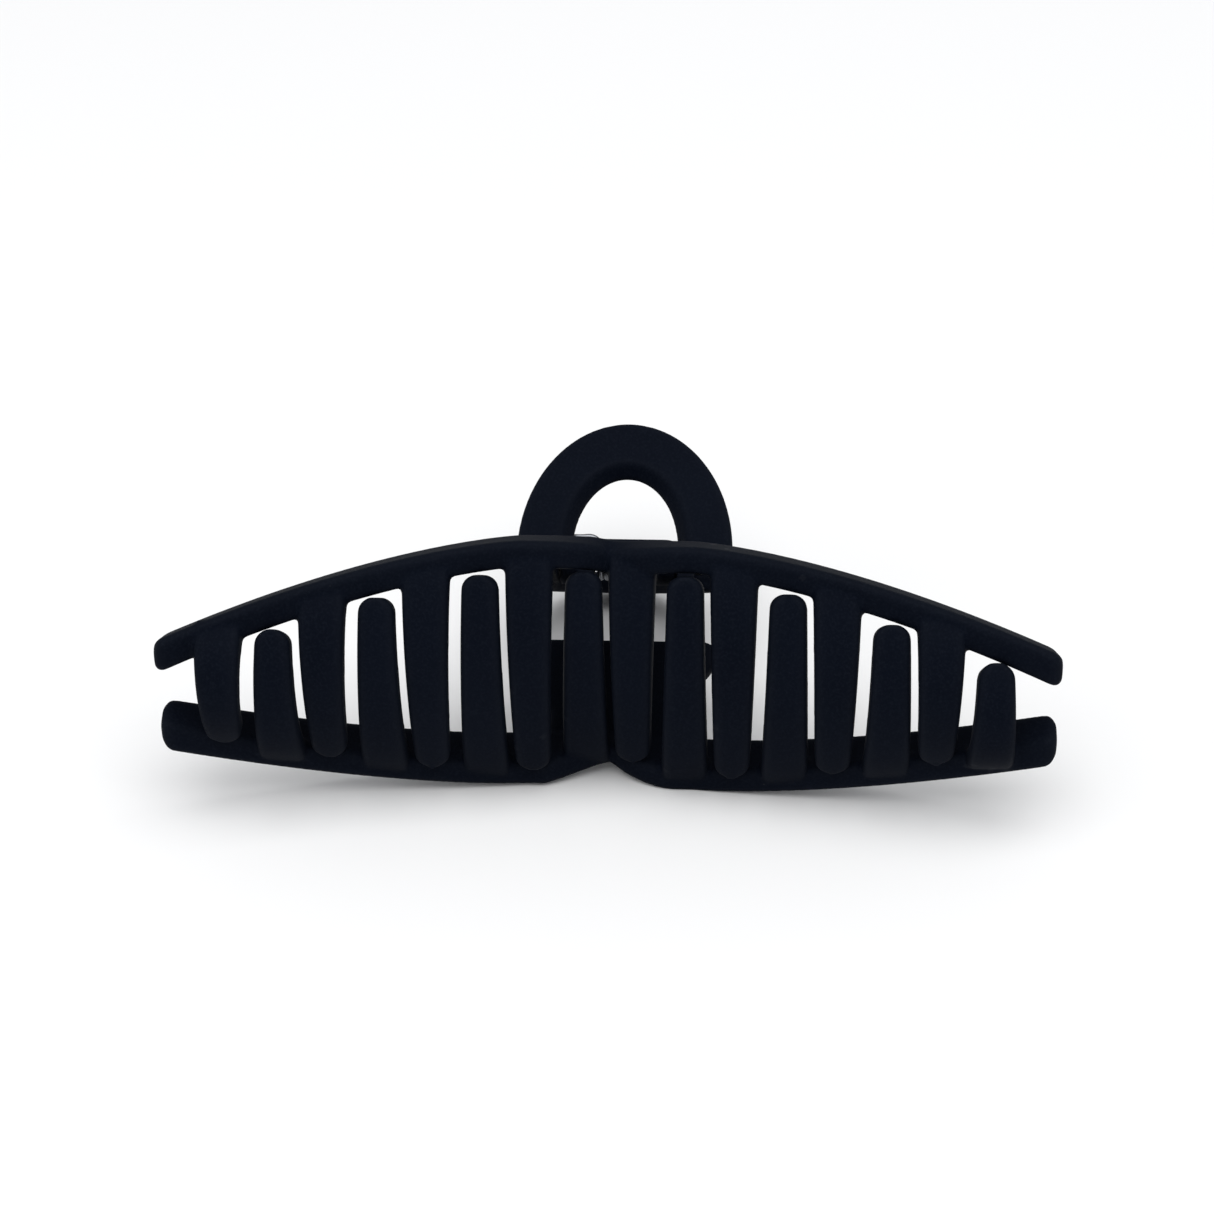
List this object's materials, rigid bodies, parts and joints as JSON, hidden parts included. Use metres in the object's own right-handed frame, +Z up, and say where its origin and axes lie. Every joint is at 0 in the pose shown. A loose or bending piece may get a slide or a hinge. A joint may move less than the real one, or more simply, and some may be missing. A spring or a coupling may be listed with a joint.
{
  "type": "claw clip",
  "caption": "Large wide claw clip for hair: two equal toothed jaws with arched rails and finger loops, hinged on a sprung pin.",
  "frame": {"origin": "on the resting surface, under the centre of the closed clip's bounding box", "axes": "+X along the clip's length, +Y from the teeth back to the finger loops, +Z up as the closed clip lies on its side"},
  "size_m": [0.1336, 0.0686, 0.0424],
  "materials": {
    "jaw_plastic": "matt black moulded plastic with a soft rubbery feel and a faint blue cast",
    "pin_steel": "drawn steel wire, dull",
    "spring_steel": "oil-darkened spring steel wire"
  },
  "bodies": {
    "lower_jaw_body": {"lower_jaw": "jaw_plastic", "hinge_pin": "pin_steel", "torsion_spring": "spring_steel"},
    "upper_jaw_body": {"upper_jaw": "jaw_plastic"}
  },
  "joints": [
    {"name": "jaw_hinge", "type": "hinge", "parent": "lower_jaw_body", "child": "upper_jaw_body", "pos_m": [0, 0.01205, 0.01794], "axis": [-1, 0, 0], "range_deg": [0, 50], "stiffness_Nm_per_rad": 0.06, "springref_deg": -45.84, "deforming": ["torsion_spring"]}
  ]
}
